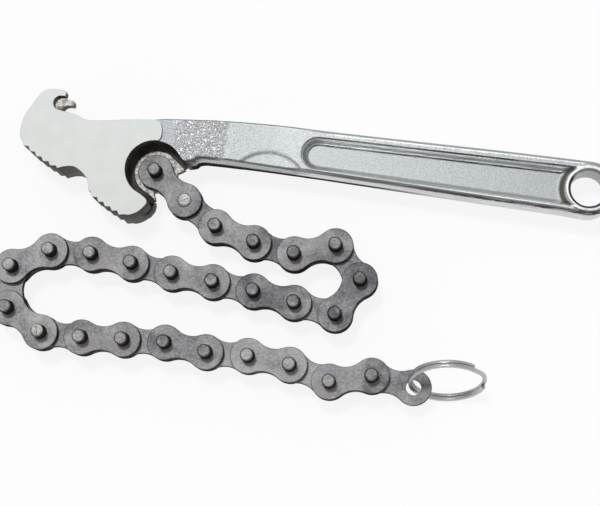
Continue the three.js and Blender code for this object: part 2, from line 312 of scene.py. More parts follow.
def forgedSkin():  # plated forging: hammered near the head, satin further on, granular in the panel, with painted highlights and painted shade
    finish = Finish("forgedSkin")
    step, fade, between, highest, mix = finish.step, finish.fade, finish.between, finish.highest, finish.mix
    along, across, height = finish.split(finish.place)
    leanX, leanY, leanZ = finish.split(finish.lean)
    level = abs(leanZ)

    # how far a face leans out from the spine
    start, eye = plating["spine"]
    aside = (along - finish.maths("MINIMUM", highest(along, start), eye)) * step(along, 0.0735, 0.0750)
    offset = across - plating["spineAcross"]
    fromSpine = finish.maths("SQRT", aside ** 2 + offset ** 2) + 0.00001
    fromEye = finish.maths("SQRT", (along - eye) ** 2 + offset ** 2)
    outward = (leanX * aside + leanY * offset) / fromSpine
    upperHalf = step(offset, -0.0030, 0.0010)
    lowerHalf = 1 - upperHalf

    panel = step(along, *plating["panelFrom"])
    floor = fade(abs(height - plating["middle"]), *plating["floorDepth"]) * panel * step(level, 0.9, 0.98)
    crest = step(fromSpine, 0.0045, 0.0058) * step(along, 0.074, 0.082) * (1 - floor)
    rail = fade(level, 0.80, 0.985) * (1 - floor)
    ragged = finish.mottle(260, 3)
    root = fade(along + 0.002 * ragged, *plating["hammeredTo"])
    rough = root * step(along + 0.003 * ragged, *plating["hammeredFrom"])

    lumps = finish.mottle(plating["lumpScale"], 3, 0.6, 0.7)
    pits = finish.mottle(plating["pitScale"], 3, 0.6)
    stretched = finish.node("ShaderNodeMapping", {}, {"Vector": finish.place, "Scale": plating["streakScale"]})
    streaks = finish.mottle(1.0, 3, vector=stretched)
    relief = step(lumps, 0.34, 0.66) * (rough * 0.75) + pits * (0.26 + rough * 0.3 + floor * 0.1)
    relief = relief + streaks * (highest(rail, crest) * 0.13)
    relief = relief + finish.mottle(2300, 2) * 0.05 + streaks * ((root - rough) * 0.3)

    # tones of the bare plating, then painted highlights and painted shade along the rails and edges
    ruffled = outward + 0.34 * (pits - 0.5)
    grain = step(pits, 0.3, 0.7)
    colour = mix(root * 0.9, mix(grain, *plating["satin"]), mix(step(lumps, 0.35, 0.68), *plating["hammered"]))
    colour = mix((root - rough) * 0.85, colour, plating["rootEnd"])
    colour = mix(rail * panel * 0.95, colour, mix(step(streaks, 0.35, 0.65), *plating["rail"]))
    # painted highlight: a glint along the outer rounding of the rails, and over the lower rail's inner wall, in the
    # glint tone
    glint = between(ruffled - 0.09 * upperHalf, 0.07, 0.30, 0.06) * step(fromEye, 0.0092, 0.0098)
    glint = glint * highest(step(along, 0.080, 0.090), upperHalf * 0.5)
    inside = step(outward * -1, 0.30, 0.60) * lowerHalf * step(along, 0.080, 0.095)
    colour = mix(highest(glint * 0.85, inside), colour, plating["glint"])
    # painted shade: a dark line along the outer rounding of the upper edge, and over the whole upper edge near the
    # root
    edgeBand = step(ruffled, 0.18, 0.34) * fade(along, 0.055, 0.085)
    rim = highest(between(ruffled, 0.50, 0.94, 0.08), edgeBand) * upperHalf
    colour = mix(rim * 0.66, colour, plating["rimShade"])
    colour = mix(floor, colour, mix(grain, *plating["panelFloor"]))

    # painted shade: dark lines along the edges, and shade low on the near side, at the heel and in the crease at the
    # root
    broken = 0.35 + 0.65 * step(streaks, 0.36, 0.52)
    outerLine = between(ruffled, 0.54, 0.95, 0.05) * lowerHalf
    outerLine = outerLine * highest(step(along, 0.056, 0.100), fade(along, 0.040, 0.050))
    innerLine = between(ruffled * -1, 0.20, 0.70, 0.08) * upperHalf * panel * fade(along, 0.176, 0.180)
    line = highest(outerLine, innerLine) * broken * step(height, 0.0100, 0.0104)
    line = line * (0.72 + 0.2 * step(along, 0.100, 0.145))
    foot = fade(height, 0.0068, 0.0088) * fade(along, 0.095, 0.145) * lowerHalf * fade(leanZ * -1, 0.35, 0.80)
    heel = fade(level, 0.3, 0.6) * fade(along, 0.0335, 0.0385) * lowerHalf
    crease = step(height, 0.0118, 0.0132) * fade(level, 0.5, 0.9) * lowerHalf
    crease = crease * fade(along, 0.0420, 0.0500) * (0.45 + 0.4 * pits)
    dark = highest(highest(foot, heel * 0.7) * 0.96, line, crease)

    # the eye: painted light and painted shade on the two halves of its bore, painted shade in the flare at its mouth,
    # and a painted highlight on the collar round it
    bore = fade(fromEye, *plating["boreEdge"]) * fade(level, 0.5, 0.9)
    collar = between(fromEye, 0.0078, 0.0092, 0.0002) * step(level, 0.85, 0.95)
    # painted shade in the flare at the hole's mouth, deeper on the unlit side
    flare = between(fromEye, 0.0067, 0.0079, 0.0002) * fade(level, 0.93, 0.985)
    cone = between(fromEye, 0.0091, 0.0107, 0.0003) * fade(level, 0.86, 0.96)
    cone = cone * fade(along, 0.180, 0.184) * fade(abs(offset), 0.0070, 0.0080)
    lit = step(offset + 0.6 * (along - eye), -0.0012, 0.0012)
    for mask, tone in ((bore * (1 - lit), "boreShade"), (highest(bore * lit, collar * 0.5), "boreLight"),
                       (flare * (0.95 - 0.4 * lit), "flare"), (cone, "cone"), (dark, "shade")):
        colour = mix(mask, colour, plating[tone])
    metallic = 1 - highest(dark, cone * 0.8, bore * 0.8)
    roughness = highest(0.46 + 0.06 * grain - 0.18 * rail, dark)
    return finish.dress(colour, metallic, roughness, (1.0, plating["bumpDepth"], relief), specular=0.1)


def sideSkin():  # the head's unground sides: dark scale, also painted darker as shade on the walls, with painted shade on the faces that look up, darkest in the channel under the head
    finish = Finish("sideSkin")
    cloud = finish.mottle(380, 4)
    # painted shade on the faces that look up, deepest low under the head
    deep = finish.step(finish.split(finish.place)[1] * -1, 0.0115, 0.0140)
    shaded = finish.step(finish.split(finish.lean)[2], 0.5, 0.9) * (0.4 + 0.45 * deep)
    colour = finish.mix(finish.step(cloud, 0.32, 0.68), *steelTones["scale"])
    colour = finish.mix(shaded, colour, steelTones["channelShade"])
    height = finish.mottle(1500, 3) + cloud
    return finish.dress(colour, 0.25, 0.5 + 0.14 * cloud, (0.8, 0.00014, height), specular=0.2)


def rawForging():  # the web and the cheeks' inner faces: light, uneven, unground
    finish = Finish("rawForging")
    cloud = finish.mottle(900, 4)
    colour = finish.mix(finish.step(cloud, 0.35, 0.66), *steelTones["raw"])
    return finish.dress(colour, 0.85, 0.42 + 0.12 * cloud, (0.9, 0.00016, cloud))


chainFinishes = {  # darkest and palest tone, roughness, scuffs, how much two corners of the loop darken
    "plateSteel": ((80, 81, 85), (168, 167, 168), 0.48, 0.2, 0.05),
    "pinSteel": ((62, 62, 65), (156, 155, 153), 0.40, 0.3, 0.09),
    "peenedSteel": ((110, 109, 108), (172, 171, 168), 0.38, 0.4, 0.0),
}


def chainFinish(name, low, high, roughness, worn, twist):  # black oxide, worn and browned a little, oily; side walls painted near black as shade
    finish = Finish(name)
    step, mix = finish.step, finish.mix
    along, across, _ = finish.split(finish.place)
    side = finish.fade(abs(finish.split(finish.lean)[2]), 0.42, 0.93)
    rows = step(across * -1, 0.030, 0.082)
    corners = (2 * rows - 1) * (2 * step(along, 0.020, 0.085) - 1)
    last = step(along, 0.110, 0.113)
    link = finish.node("ShaderNodeAttribute", {"attribute_name": "tone"}, output=2)
    cloud = finish.mottle(130, 5, 0.62)
    stain = finish.mottle(75, 3)
    grain = finish.mottle(1150, 3, 0.7)
    scuffs = finish.mottle(620, 5, 0.7)
    tone = 0.17 * rows - 0.22 * last + twist * corners + 1.3 * cloud + 0.2 * link + 0.8 * grain
    colour = mix(step(tone, 0.73, 1.73), low, high)
    colour = mix(step(stain, 0.46, 0.64) * step(cloud, 0.40, 0.62) * 0.45, colour, steelTones["browned"])
    colour = mix(step(scuffs, 0.60, 0.76) * worn, colour, steelTones["scuffed"])
    # painted shade: the side walls of plates and pins turned near black
    colour = mix(side * 0.92, colour, steelTones["linkSide"])
    rough = finish.highest(roughness + 0.12 * cloud, side)
    return finish.dress(colour, 0.85 - 0.85 * side, rough, (0.8, 0.00012, grain), specular=0.1)


def springSteel():  # bright drawn wire with fine lines along it
    finish = Finish("springSteel")
    grain = finish.mottle(1400, 3)
    colour = finish.mix(grain, *steelTones["spring"])
    return finish.dress(colour, 1.0, 0.32 + 0.10 * grain, (0.2, 0.00003, grain))


handleSteels = [forgedSkin(), groundFace(), sideSkin(), rawForging()]  # steelOf gives their places in this list
plateSteel, pinSteel, peenedSteel = (chainFinish(name, *tones) for name, tones in chainFinishes.items())
ringSteel = springSteel()
print("finishes made")


# Mesh helpers. Outlines are rows of x and y in millimetres, anticlockwise.

def arcPoints(centre, radius, start, end, steps):
    angles = np.radians(np.linspace(start, end, steps + 1))
    return np.column_stack([centre[0] + radius * np.cos(angles), centre[1] + radius * np.sin(angles)])


def smoothThrough(points, steps):  # a curve through every point, steps to each span
    points = np.asarray(points, float)
    padded = np.vstack([2 * points[0] - points[1], points, 2 * points[-1] - points[-2]])
    shares = np.linspace(0, 1, steps, endpoint=False)[:, None]
    rows = []
    for k in range(1, len(padded) - 2):
        before, here, after, beyond = padded[k - 1:k + 3]
        rows.append(0.5 * (2 * here + (after - before) * shares
                           + (2 * before - 5 * here + 4 * after - beyond) * shares ** 2
                           + (3 * here - before - 3 * after + beyond) * shares ** 3))
    return np.vstack(rows + [points[-1:]])


def inset(loop, distance):  # moves an anticlockwise loop inwards
    edge = np.roll(loop, -1, axis=0) - loop
    edge /= np.linalg.norm(edge, axis=1)[:, None]
    normal = np.column_stack([-edge[:, 1], edge[:, 0]])
    before = np.roll(normal, 1, axis=0)
    share = np.maximum(1 + (normal * before).sum(axis=1), 0.5)[:, None]
    return loop + distance * (normal + before) / share


class Shell:  # vertices and faces gathered from closed shapes
    def __init__(self):
        self.points = []
        self.faces = []

    def add(self, rows):  # rows of x, y and height; gives the numbers of the new points
        first = len(self.points)
        self.points.extend(map(tuple, rows))
        return np.arange(first, len(self.points))

    def ring(self, loop, height):
        return self.add((x, y, height) for x, y in loop)

    def skin(self, rings):  # a wall from each loop up to the next
        for lower, upper in zip(rings, rings[1:]):
            for k in range(len(lower)):
                after = (k + 1) % len(lower)
                self.faces.append((lower[k], lower[after], upper[after], upper[k]))

    def fan(self, tip, loop):  # a cone of triangles from each side of a loop to a point
        tip = self.add([tip])[0]
        self.faces.extend((tip, here, after) for here, after in zip(loop, np.roll(loop, -1)))

    def cap(self, loops, facingUp):  # the first loop is the rim, the others are holes
        ids = np.concatenate(loops)
        order = [Vector((*self.points[i][:2], 0)) for i in ids]
        ends = np.cumsum([len(loop) for loop in loops])
        lists = [order[end - len(loop):end] for loop, end in zip(loops, ends)]
        for a, b, c in geometry.tessellate_polygon(lists):
            pa, pb, pc = order[a], order[b], order[c]
            turn = (pb.x - pa.x) * (pc.y - pa.y) - (pb.y - pa.y) * (pc.x - pa.x)
            self.faces.append((ids[a], ids[b], ids[c]) if (turn > 0) == facingUp else (ids[a], ids[c], ids[b]))

    def prism(self, outline, low, high, edge=0.0, steps=1, holes=(), holeEdge=0.0):
        angles = np.linspace(0, math.pi / 2, steps + 1)
        levels = [(edge * (1 - math.sin(a)), low + edge * (1 - math.cos(a))) for a in angles]
        levels += [(edge * (1 - math.cos(a)), high - edge * (1 - math.sin(a))) for a in angles]
        rings = [self.ring(inset(outline, shift), height) for shift, height in levels]
        self.skin(rings)
        tops, bottoms = [rings[-1]], [rings[0]]
        for hole in holes:
            levels = [(-holeEdge, low), (0, low + holeEdge), (0, high - holeEdge), (-holeEdge, high)]
            inner = [self.ring(inset(hole, shift), height) for shift, height in levels]
            self.skin(inner[::-1])
            bottoms.append(inner[0])
            tops.append(inner[-1])
        self.cap(tops, True)
        self.cap(bottoms, False)

    def lathe(self, profile, sides, centre=(0, 0)):  # from the bottom of the axis to its top
        rings = [self.ring(arcPoints(centre, radius, 0, 360, sides)[:-1], height) for radius, height in profile[1:-1]]
        self.skin(rings)
        self.fan((*centre, profile[0][1]), rings[0][::-1])
        self.fan((*centre, profile[-1][1]), rings[-1])

    def mesh(self, name, shift=(0, 0, 0)):
        mesh = bpy.data.meshes.new(name)
        points = (np.array(self.points) + np.array(shift)) * mm
        mesh.from_pydata(points.tolist(), [], [tuple(int(i) for i in face) for face in self.faces])
        mesh.update()
        return mesh


def evaluated(made):  # the plain mesh that an object's modifiers give
    graph = bpy.context.evaluated_depsgraph_get()
    graph.update()
    return bpy.data.meshes.new_from_object(made.evaluated_get(graph))


def combine(base, cutter, operation):
    modifier = base.modifiers.new("combine", "BOOLEAN")
    modifier.operation = operation
    modifier.solver = "MANIFOLD"
    modifier.object = cutter
    result = evaluated(base)
    base.modifiers.clear()
    old = base.data
    base.data = result
    bpy.data.meshes.remove(old)
    bpy.data.meshes.remove(cutter.data)


def faceOutwards(mesh):  # merges doubles and turns the faces outwards
    shape = bmesh.new()
    shape.from_mesh(mesh)
    bmesh.ops.remove_doubles(shape, verts=shape.verts, dist=0.0000005)
    bmesh.ops.recalc_face_normals(shape, faces=shape.faces)
    shape.to_mesh(mesh)
    shape.free()


def sharpen(mesh, degrees):  # smooth shading, creased at sharper angles than this and round level faces
    shape = bmesh.new()
    shape.from_mesh(mesh)
    for face in shape.faces:
        face.smooth = True
    for edge in shape.edges:
        if len(edge.link_faces) != 2:
            continue
        angle = edge.calc_face_angle(0)
        level = [abs(face.normal.z) > 0.99999 for face in edge.link_faces]
        edge.smooth = angle < math.radians(degrees) and not (level[0] != level[1] and angle > math.radians(6))
    shape.to_mesh(mesh)
    shape.free()


def finishPiece(name, mesh, body, nodes):
    made = newObject(name, mesh)
    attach(made, body)
    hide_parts(*nodes)


# Handle forging, in millimetres from the first pin's axis

toolPlace = (22.0, -4.0, 0.0)  # where that axis stands

head = {
    "thickness": 17.1,
    "edge": 0.14,
    "crown": [(-2.0, 18.93), (-13.1, 17.58), (-20.4, 16.3), (-27.7, 15.39), (-30.8, 16.02), (-33.4, 16.9)],
    "seatCentre": (-39.99, 20.75),
    "seatRadius": 2.79,
    "tip": [(-38.55, 23.6), (-38.43, 24.3), (-38.5, 25.2), (-38.95, 25.72)],
    "nose": [(-40.0, 25.9), (-43.6, 25.88), (-46.95, 24.83), (-49.0, 22.33), (-50.87, 18.59), (-53.0, 13.8),
             (-53.58, 8.7), (-53.2, 5.9), (-52.8, 4.75)],
    "upperTeeth": ((-51.84, 4.12), (-37.46, -3.84), 0.6),  # from, to, bulge
    "relief": [(-36.57, -4.83), (-36.07, -4.56), (-34.07, -3.75), (-31.95, -3.31), (-29.77, -3.49), (-27.4, -4.71),
               (-25.71, -6.1), (-24.61, -7.21), (-24.01, -8.42), (-23.6, -9.82), (-23.19, -11.72)],
    "lowerTeeth": ((-22.2, -12.2), (-8.1, -19.05), 0.5),
    "heel": [(-6.44, -19.0), (-4.36, -18.11), (-2.64, -16.8), (-1.12, -14.95), (-0.46, -13.8), (-0.38, -13.1),
             (-0.7, -12.3)],
    "faceEdge": [(0.08, 10.92), (0.86, 12.48), (0.75, 15.6), (-0.16, 17.94)],
    "shortestSide": 0.12,
    "toothPitch": 3.2,
    "toothDepth": 1.0,
    "toothHollow": 0.85,
    "keyholeRadius": 11.0,
    "keyholeArc": (42, 238, 68),  # from, to, steps
    "heelEdge": [(-4.4, -10.03), (-3.39, -10.48), (-2.28, -11.11), (-1.28, -11.76), (-0.59, -12.44)],
    "mouthFlank": [(10.15, 5.3), (11.9, 4.1), (13.9, 3.2)],
    "mouth": [(2.1, -12.9), (13.4, -15.6), (26.8, -7.8), (17.2, -0.5)],
    "cutMargin": 2.0,
    "webRim": 12.0,
    "webRimArc": (17, 268, 72),
    "webTail": [(0.6, -11.7), (1.1, -11.0), (0.6, -9.2)],
    "webFoot": (0.5, -7.7),
    "webReach": 8.225,
    "webReachArc": (-62, 5, 24),
    "webThickness": 2.4,
    "webEdge": 0.25,
    "sunkThickness": 1.3,
    "bossRadius": 8.65,
    "bossArc": (50, 266, 66),
    "bossCorner": [(9.6, 1.5), (10.9, 2.5)],
    "webHole": 2.84,
    "webHoleEdge": 0.1,
    "webTongue": [(-3.0, -6.5), (-2.95, -7.77), (-1.53, -8.76), (0.01, -9.74), (0.64, -10.45), (1.1, -11.0),
                  (1.4, -10.6), (0.93, -9.42), (0.45, -8.4), (0.4, -6.5)],
    "tongueEdge": 0.1,
    "skirt": [(-8.0, -12.0), (-6.2, -18.35), (-3.4, -17.4), (-1.2, -15.9), (0.2, -13.5), (0.4, -11.6), (0.1, -10.3),
              (-2.5, -10.7)],
    "skirtHeights": (0.2, 7.2),
    "skirtEdge": 0.4,
    "slot": [(-59.0, 7.0), (-33.2, 11.44), (-28.5, 13.2), (-26.8, 16.1), (-26.8, 31.0), (-59.0, 31.0)],
    "slotWidth": 9.6,
    "creaseAngle": 32,
}

bar = {
    "middle": 8.55,
    "rise": 14.75,
    "thickness": 11.6,
    "rootThickness": 15.4,
    "rounding": [(-10, 0.8), (30, 0.85), (42, 0.95), (50, 1.0), (62, 1.9), (170, 1.9)],
    "stations": [  # place, upper edge, lower edge, share of the root's thickness
        (-9.7, 2.65, 3.65, 1), (-1.6, 4.75, 9.45, 1), (5.7, 5.75, 11.15, 1), (13.3, 6.55, 9.7, 0.92),
        (15.1, 6.75, 8.35, 0.88), (17.2, 7.0, 7.75, 0.84), (19.8, 7.25, 7.65, 0.78), (25.2, 7.7, 7.6, 0.62),
        (32.5, 8.25, 7.65, 0.36), (40.6, 8.7, 7.75, 0.12), (50.3, 8.97, 7.9, 0), (86.0, 9.45, 8.6, 0),
        (125.0, 10.08, 9.45, 0), (149.3, 10.29, 9.8, 0), (162.3, 10.35, 10.3, 0),
    ],
    "spans": [  # from, to, sections
        (-9.7, 12.0, 46), (12.0, 26.0, 44), (26.0, 54.0, 66), (54.0, 64.0, 40), (64.0, 149.0, 70), (149.0, 162.3, 44),
    ],
    "endSections": (0, 88.5, 46),
    "eyeReach": 162.3,
    "eyeRadius": 10.35,
    "panelStart": 54.7,
    "panelRise": 14.45,
    "panelHalf": 5.95,
    "panelEndHalf": 7.1,
    "panelPastEye": 3,
    "panelWidens": (60.65, 158.0),
    "panelDepth": 3.3,
    "panelWall": 1.55,
    "panelSoftness": 0.6,
    "holeRadius": 6.6,
    "holeFlare": 1.0,
    "flareProfile": [(0, -1.3), (0.22, -0.62), (1, 0)],  # out and up, in flares
    "holeSides": 96,
    "collarRadius": 8.8,
    "collarRise": 0.28,
    "collarEdge": 0.35,
    "collarWall": 1.9,
    "scoopCentre": (43.7, -2.9),
    "scoopRadius": 16.3,
    "scoopDepth": 0.3,
    "scoopWidth": 1.7,
    "lumps": 0.07,
    "lumpPlaces": (5.5, 27.0, 3),  # from, to, fade
    "lumpScales": (0.85, 1.9, 0.6),  # coarse, fine, share of the fine ones
    "lumpInset": 0.8,
    "partingRidge": 0.16,
    "ridgeShortOfEye": 2,
    "sideShares": (0.2, 0.4, 0.47, 0.53, 0.6, 0.8),  # where each side has its points, and how proud they stand
    "sideProud": (0, 0.25, 1, 1, 0.25, 0),
}


def teethPoints(start, end, bulge):
    start, end = np.array(start), np.array(end)
    along = end - start
    length = np.linalg.norm(along)
    out = np.array([along[1], -along[0]]) / length
    count = 2 * round(length / head["toothPitch"])
    rows = []
    for k in range(count):
        for part in (0.0, 0.25, 0.5, 0.75):
            share = (k + part) / count
            height = part if k % 2 == 0 else 1 - part
            rise = 4 * bulge * share * (1 - share) + head["toothDepth"] * height ** head["toothHollow"]
            rows.append(start + along * share + out * rise)
    return np.array(rows + [end])


def headLoop():
    x, y = head["seatCentre"]
    loop = np.vstack([
        smoothThrough(head["crown"] + [(x, y - head["seatRadius"])], 5)[:-1],
        arcPoints((x, y), head["seatRadius"], 270, 90, 20),
        head["tip"],
        smoothThrough(head["nose"], 6)[:-1],
        teethPoints(*head["upperTeeth"]),
        smoothThrough(head["relief"], 3),
        teethPoints(*head["lowerTeeth"]),
        smoothThrough([head["lowerTeeth"][1]] + head["heel"], 4)[1:],
        smoothThrough(head["faceEdge"], 4),
    ])
    apart = np.linalg.norm(loop - np.roll(loop, 1, axis=0), axis=1)
    return loop[apart > head["shortestSide"]]


def softRamp(distance, wall, soft):  # 0 outside, 1 past the wall, both corners rounded
    def whole(value):
        return np.where(value <= 0, 0, np.where(value < 1, value ** 2 / 2, value - 0.5))
    share, half = distance / wall, soft / wall
    return (whole(share + half) - whole(share - half)) / (2 * half)


def rounded(distance, radius):  # how far an edge of that radius has dropped, at a distance in from it
    inside = np.clip(distance, 0, radius)
    return radius - np.sqrt(np.maximum(radius ** 2 - (radius - inside) ** 2, 0))


def lumpField(x, across, heights, scale):
    return np.array([noise.noise(Vector((x, y, z)) * scale) for y, z in zip(across, heights)])


def knotsAcross(lower, upper, rounding, panelHalf, slim):  # where a section has its points, close at every edge
    edgeKnots = rounding * (1 - np.cos(np.radians(np.linspace(0, 90, 8))))
    wallKnots = np.linspace(-1.0, 3.0, 13)
    offset = bar["panelRise"] - bar["rise"]
    knots = np.concatenate([
        -lower + edgeKnots, offset - panelHalf + wallKnots, np.linspace(-lower + rounding + 0.5, -panelHalf - 1.4, 4),
        np.linspace(offset - panelHalf + 3.3, offset + panelHalf - 3.3, 11),
        offset + panelHalf - wallKnots, np.linspace(panelHalf + 0.8, upper - rounding - 0.4, 4), upper - edgeKnots])
    count = len(knots)
    if slim == 1.0:
        knots = np.clip(knots, -lower, upper)
    else:
        knots = np.concatenate([
            -lower + lower * (1 - np.cos(np.radians(np.linspace(0, 90, count // 2, endpoint=False)))),
            upper - upper * (1 - np.cos(np.radians(np.linspace(0, 90, count - count // 2))))])
    even = -lower + (upper + lower) * np.linspace(0, 1, count)
    return np.sort(knots) * 0.97 + even * 0.03


def barRings():
    reach, radius = bar["eyeReach"], bar["eyeRadius"]
    plain = smoothThrough(bar["stations"], 12)
    places = [np.linspace(*span, endpoint=False) for span in bar["spans"]]
    places.append(reach + radius * np.sin(np.radians(np.linspace(*bar["endSections"]))))
    rings = []
    for x in np.concatenate(places):
        upper, lower, thick = (np.interp(x, plain[:, 0], plain[:, k]) for k in (1, 2, 3))
        slim = 1.0
        if x > reach:
            slim = math.sqrt(radius ** 2 - (x - reach) ** 2) / radius
            upper, lower, thick = radius * slim, radius * slim, 0
        half = (bar["thickness"] + (bar["rootThickness"] - bar["thickness"]) * thick) / 2
        rounding = np.interp(x, *np.array(bar["rounding"]).T)
        panelHalf = np.interp(x, bar["panelWidens"], [bar["panelHalf"], bar["panelEndHalf"]])
        knots = knotsAcross(lower, upper, rounding, panelHalf, slim)
        y = bar["rise"] + knots
        edge = np.minimum(knots + lower, upper - knots) if x <= reach else radius - np.hypot(x - reach, knots)

        # the sunk panel, and the collar that stands round the eye
        centre = bar["panelStart"] + bar["panelHalf"]
        across = y - bar["panelRise"]
        inPanel = bar["panelHalf"] - np.hypot(x - centre, across) if x < centre else panelHalf - np.abs(across)
        fromHole = np.hypot(x - reach, across)
        collar = (fromHole - bar["collarRadius"]) * bar["panelWall"] / bar["collarWall"]
        depth = bar["panelDepth"] * softRamp(np.minimum(inPanel, collar), bar["panelWall"], bar["panelSoftness"])
        if x > reach + bar["panelPastEye"]:
            depth = np.zeros_like(depth)
        raised = np.clip((bar["collarRadius"] + bar["collarEdge"] - fromHole) / bar["collarEdge"], 0, 1)
        fromScoop = bar["scoopRadius"] - np.hypot(x - bar["scoopCentre"][0], y - bar["scoopCentre"][1])
        share = np.clip(fromScoop / bar["scoopWidth"], 0, 1)
        scoop = bar["scoopDepth"] * share ** 2 * (3 - 2 * share)
        height = half - rounded(edge, rounding) - depth + bar["collarRise"] * raised - scoop
        start, end, fade = bar["lumpPlaces"]
        rough = np.clip((x - start) / fade, 0, 1) * np.clip((end - x) / fade, 0, 1)
        if rough > 0:
            coarse, fine, share = bar["lumpScales"]
            lumps = lumpField(x, y, height, coarse) + share * lumpField(x, y, height, fine)
            height = height + bar["lumps"] * rough * np.clip(edge / bar["lumpInset"], 0, 1) * lumps

        # one loop round the bar, with the parting ridge along the middle of its sides
        top = np.column_stack([np.full(len(y), x), y, bar["middle"] + height])
        under = np.column_stack([np.full(len(y), x), y, bar["middle"] - height])[::-1]
        wallTop, wallFoot = top[-1, 2], under[0, 2]
        ridge = bar["partingRidge"] * slim if x < reach - bar["ridgeShortOfEye"] else 0.0
        shares, proud = np.array(bar["sideShares"]), ridge * np.array(bar["sideProud"])
        here = np.full(len(shares), x)
        farWall = np.column_stack([here, y[-1] + proud, wallTop + (wallFoot - wallTop) * shares])
        nearWall = np.column_stack([here, y[0] - proud, wallFoot + (wallTop - wallFoot) * shares])
        rings.append(np.vstack([top, farWall, under, nearWall]))
    return rings


def barShell():
    shell = Shell()
    rings = [shell.add(ring) for ring in barRings()]
    shell.skin(rings)
    shell.fan((bar["spans"][0][0], bar["rise"], bar["middle"]), rings[0][::-1])
    shell.fan((bar["eyeReach"] + bar["eyeRadius"] - 0.01, bar["rise"], bar["middle"]), rings[-1])
    return shell


def solidOf(shell, name):
    mesh = shell.mesh(name, toolPlace)
    faceOutwards(mesh)
    return newObject(name, mesh)


def steelOf(mesh):  # which of handleSteels each face has, by where it lies from the pin's axis and how it leans
    def each(quality):
        values = np.empty(len(mesh.polygons) * 3)
        mesh.polygons.foreach_get(quality, values)
        return values.reshape(-1, 3)
    x, y, z = (each("center") / mm - np.array(toolPlace)).T
    leanX, _, leanZ = each("normal").T
    middle = head["thickness"] / 2
    steep = np.abs(leanZ) < 0.5
    depth = np.abs(z - middle)
    fromPin = np.hypot(x, y)
    inKeyhole = (fromPin < head["webRim"]) | ((x > 0) & (x < 14.5) & (y < 8.0) & (y < 17 - x))
    wall = (steep & ((x < 1.2) | (inKeyhole & (x < 17.5)))) | ((x < 3.0) & (y < -8.5))
    shoulder = steep & (leanX > 0.3) & (depth > 7.6) & (y > 6) & (x < 8)
    bore = np.hypot(x - bar["eyeReach"], y - bar["panelRise"]) < bar["holeRadius"] + bar["holeFlare"] * 0.8
    webFace = (depth < 1.3) & (fromPin < head["webRim"] - 0.2)
    slotFace = (x < -20) & (depth < 4.9) & ~steep
    sunk = webFace & (depth < 0.9) & (fromPin > head["bossRadius"] - 0.3)
    tongueSide = steep & (y < -7.6) & (x > -3) & (x < 3)
    ground = (depth > middle - 0.4) & ~steep & (x < 1.6)
    index = np.zeros(len(x), int)
    forged, milled, scale, raw = range(4)
    # the walls, the sunk ring of the web and the tongue's sides take the dark side steel, which is partly painted
    # shade
    for faces, steel in ((wall, scale), (shoulder, milled), (bore, forged), (webFace | slotFace, raw), (sunk, scale),
                         (tongueSide, scale), (ground, milled)):
        index[faces] = steel
    return index


def makeForging():
    middle = head["thickness"] / 2
    body = Shell()
    body.prism(headLoop(), 0.0, head["thickness"], head["edge"], 2)
    forging = solidOf(body, "forging")
    combine(forging, solidOf(barShell(), "bar"), "UNION")
    print("head and bar joined", len(forging.data.polygons))

    def shape(name, operation, outline, low, high, *edges):  # adds a prism to the forging, or cuts one out of it
        shell = Shell()
        shell.prism(np.array(outline), low, high, *edges)
        combine(forging, solidOf(shell, name), operation)

    margin = head["cutMargin"]
    arc = arcPoints((0, 0), head["keyholeRadius"], *head["keyholeArc"])
    flank = smoothThrough([arc[0], *head["mouthFlank"]], 6)[1:]
    shape("keyhole", "DIFFERENCE", [*arc, *head["heelEdge"], *head["mouth"], *flank[::-1]],
          -margin, head["thickness"] + margin)
    hole = arcPoints((0, 0), head["webHole"], 0, 360, 48)[:-1]
    inner = [head["webFoot"], *arcPoints((0, 0), head["webReach"], *head["webReachArc"])]
    for thickness, radius, rimArc, tail, corner in (
            (head["sunkThickness"], head["webRim"], head["webRimArc"], head["webTail"], []),
            (head["webThickness"], head["bossRadius"], head["bossArc"], [], head["bossCorner"])):
        outline = [*arcPoints((0, 0), radius, *rimArc), *tail, *inner, *corner]
        shape("web", "UNION", outline, middle - thickness / 2, middle + thickness / 2,
              head["webEdge"], 2, [hole], head["webHoleEdge"])
    half = head["webThickness"] / 2
    shape("tongue", "UNION", head["webTongue"], middle - half, middle + half, head["tongueEdge"], 1)
    shape("skirt", "UNION", head["skirt"], *head["skirtHeights"], head["skirtEdge"], 2)
    half = head["slotWidth"] / 2
    shape("slot", "DIFFERENCE", head["slot"], middle - half, middle + half)

    eye = Shell()
    top = bar["thickness"] / 2 + bar["collarRise"]
    flare, radius = bar["holeFlare"], bar["holeRadius"]
    profile = [(radius + flare * out, top + flare * up) for out, up in bar["flareProfile"]]
    profile += [(radius + flare + 1, top + 1), (0, top + 1)]
    profile = [(out, -up) for out, up in profile[::-1]] + profile
    eye.lathe([(out, up + middle) for out, up in profile], bar["holeSides"], (bar["eyeReach"], bar["panelRise"]))
    combine(forging, solidOf(eye, "eye"), "DIFFERENCE")
    print("openings cut", len(forging.data.polygons))

    mesh = forging.data
    mesh.materials.clear()
    for material in handleSteels:
        mesh.materials.append(material)
    mesh.polygons.foreach_set("material_index", steelOf(mesh))
    mesh.update()
    sharpen(mesh, head["creaseAngle"])
    bpy.data.objects.remove(forging)
    finishPiece("forgedHandle", mesh, "handle", ["handle_forging"])


makeForging()
print("forging made")


# Chain: plates and pins are modelled once, then set out for each link by a node tree

